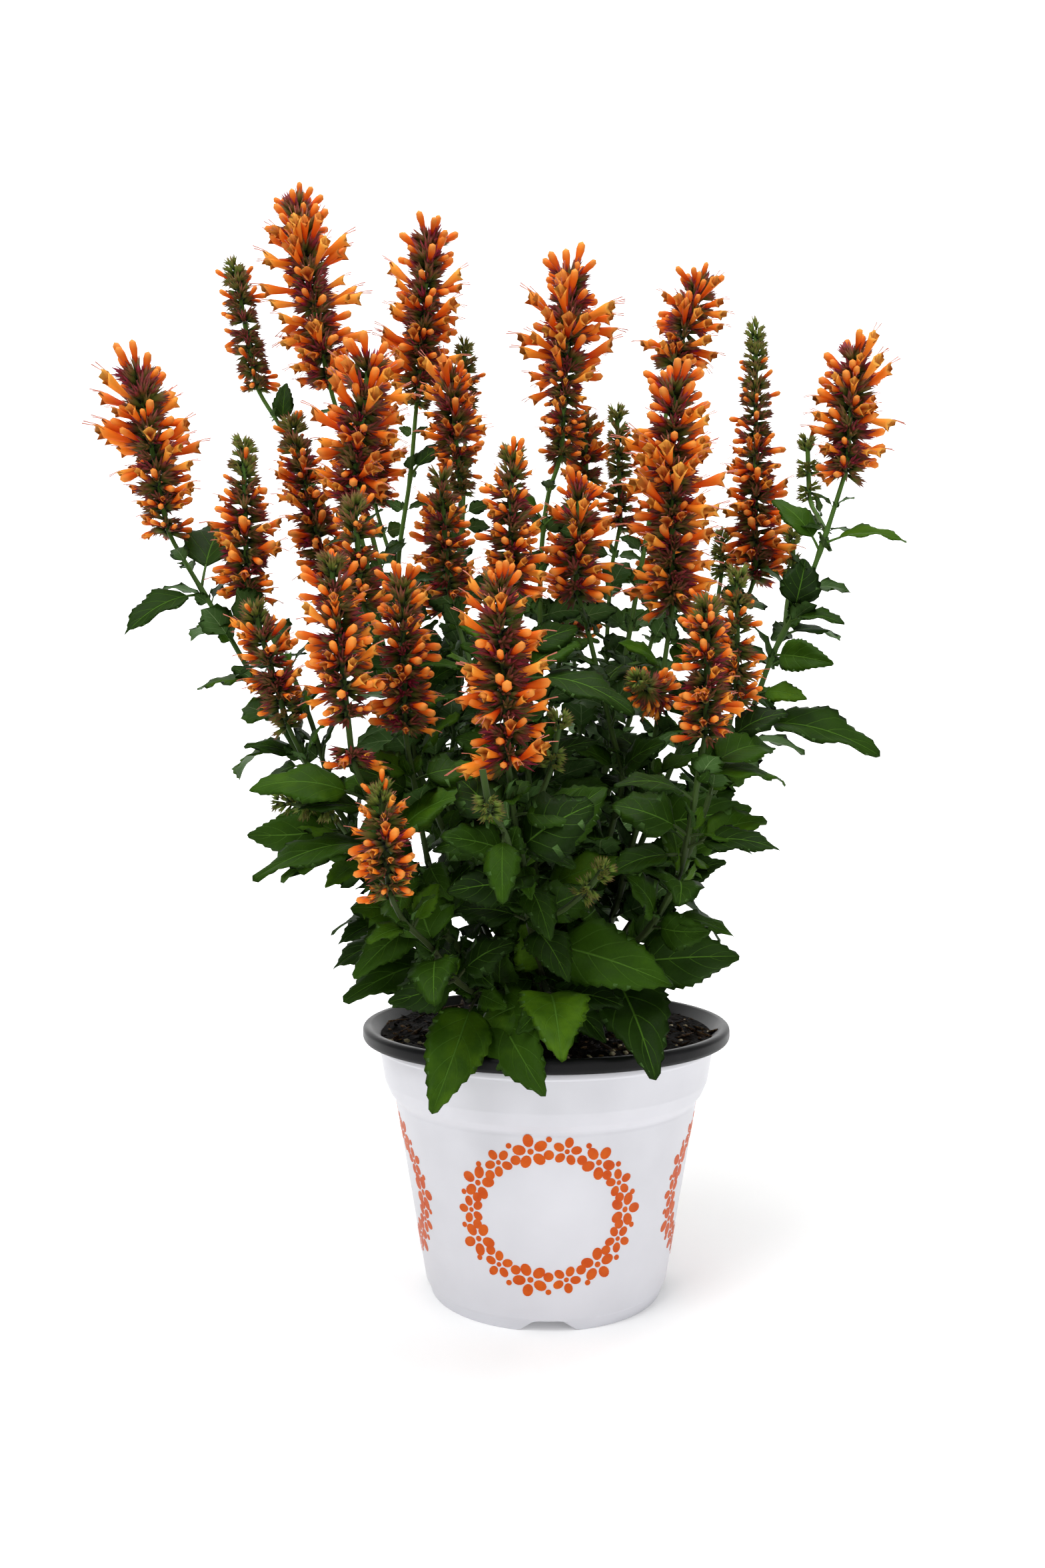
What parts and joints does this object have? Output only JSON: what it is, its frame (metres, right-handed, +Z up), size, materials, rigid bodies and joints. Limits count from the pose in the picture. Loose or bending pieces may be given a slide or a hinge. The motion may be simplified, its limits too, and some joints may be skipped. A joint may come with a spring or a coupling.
{
  "type": "potted giant hyssop",
  "caption": "Flowering giant hyssop with orange flower spikes and serrated leaves, growing in a round nursery pot.",
  "frame": {"origin": "centre of the pot's underside, on the surface that it stands on", "axes": "+Z up along the pot's axis, -Y towards the front of the plant"},
  "size_m": [0.4491, 0.3357, 0.636],
  "materials": {
    "cover_plastic": "satin white",
    "grow_plastic": "satin black",
    "potting_soil": "damp crumbs",
    "leaf": "soft matt",
    "flower": "soft matt"
  },
  "bodies": {
    "root": {"cover_pot": "cover_plastic", "grow_pot": "grow_plastic", "soil": "potting_soil", "spike_a": "flower", "spike_b": "flower", "spike_back_a": "flower", "spike_back_b": "flower", "spike_back_c": "flower", "spike_back_d": "flower", "spike_c": "flower", "spike_d": "flower", "spike_e": "flower", "spike_f": "flower", "spike_g": "flower", "spike_h": "flower", "spike_i": "flower", "spike_j": "flower", "spike_jb": "flower", "spike_k": "flower", "spike_kb": "flower", "spike_l": "flower", "spike_lb": "flower", "spike_m": "flower", "spike_n": "flower", "spike_o": "flower", "spike_oa": "flower", "spike_p": "flower", "spike_q": "flower", "spike_q2": "flower", "spike_r": "flower", "spike_s": "flower", "spike_t": "flower", "spike_u": "flower", "spike_v": "flower", "spike_w": "flower", "spike_x": "flower", "spike_xa": "flower", "spike_xb": "flower", "spike_xc": "flower", "spike_y": "flower", "spike_yb": "flower", "spike_z": "flower", "stem_a": "leaf", "stem_b": "leaf", "stem_back_a": "leaf", "stem_back_c": "leaf", "stem_d": "leaf", "stem_e": "leaf", "stem_h": "leaf", "stem_i": "leaf", "stem_j": "leaf", "stem_k": "leaf", "stem_l": "leaf", "stem_o": "leaf", "stem_q": "leaf", "stem_t": "leaf", "stem_v": "leaf", "stem_x": "leaf", "stem_y": "leaf", "stem_z": "leaf"}
  },
  "joints": []
}
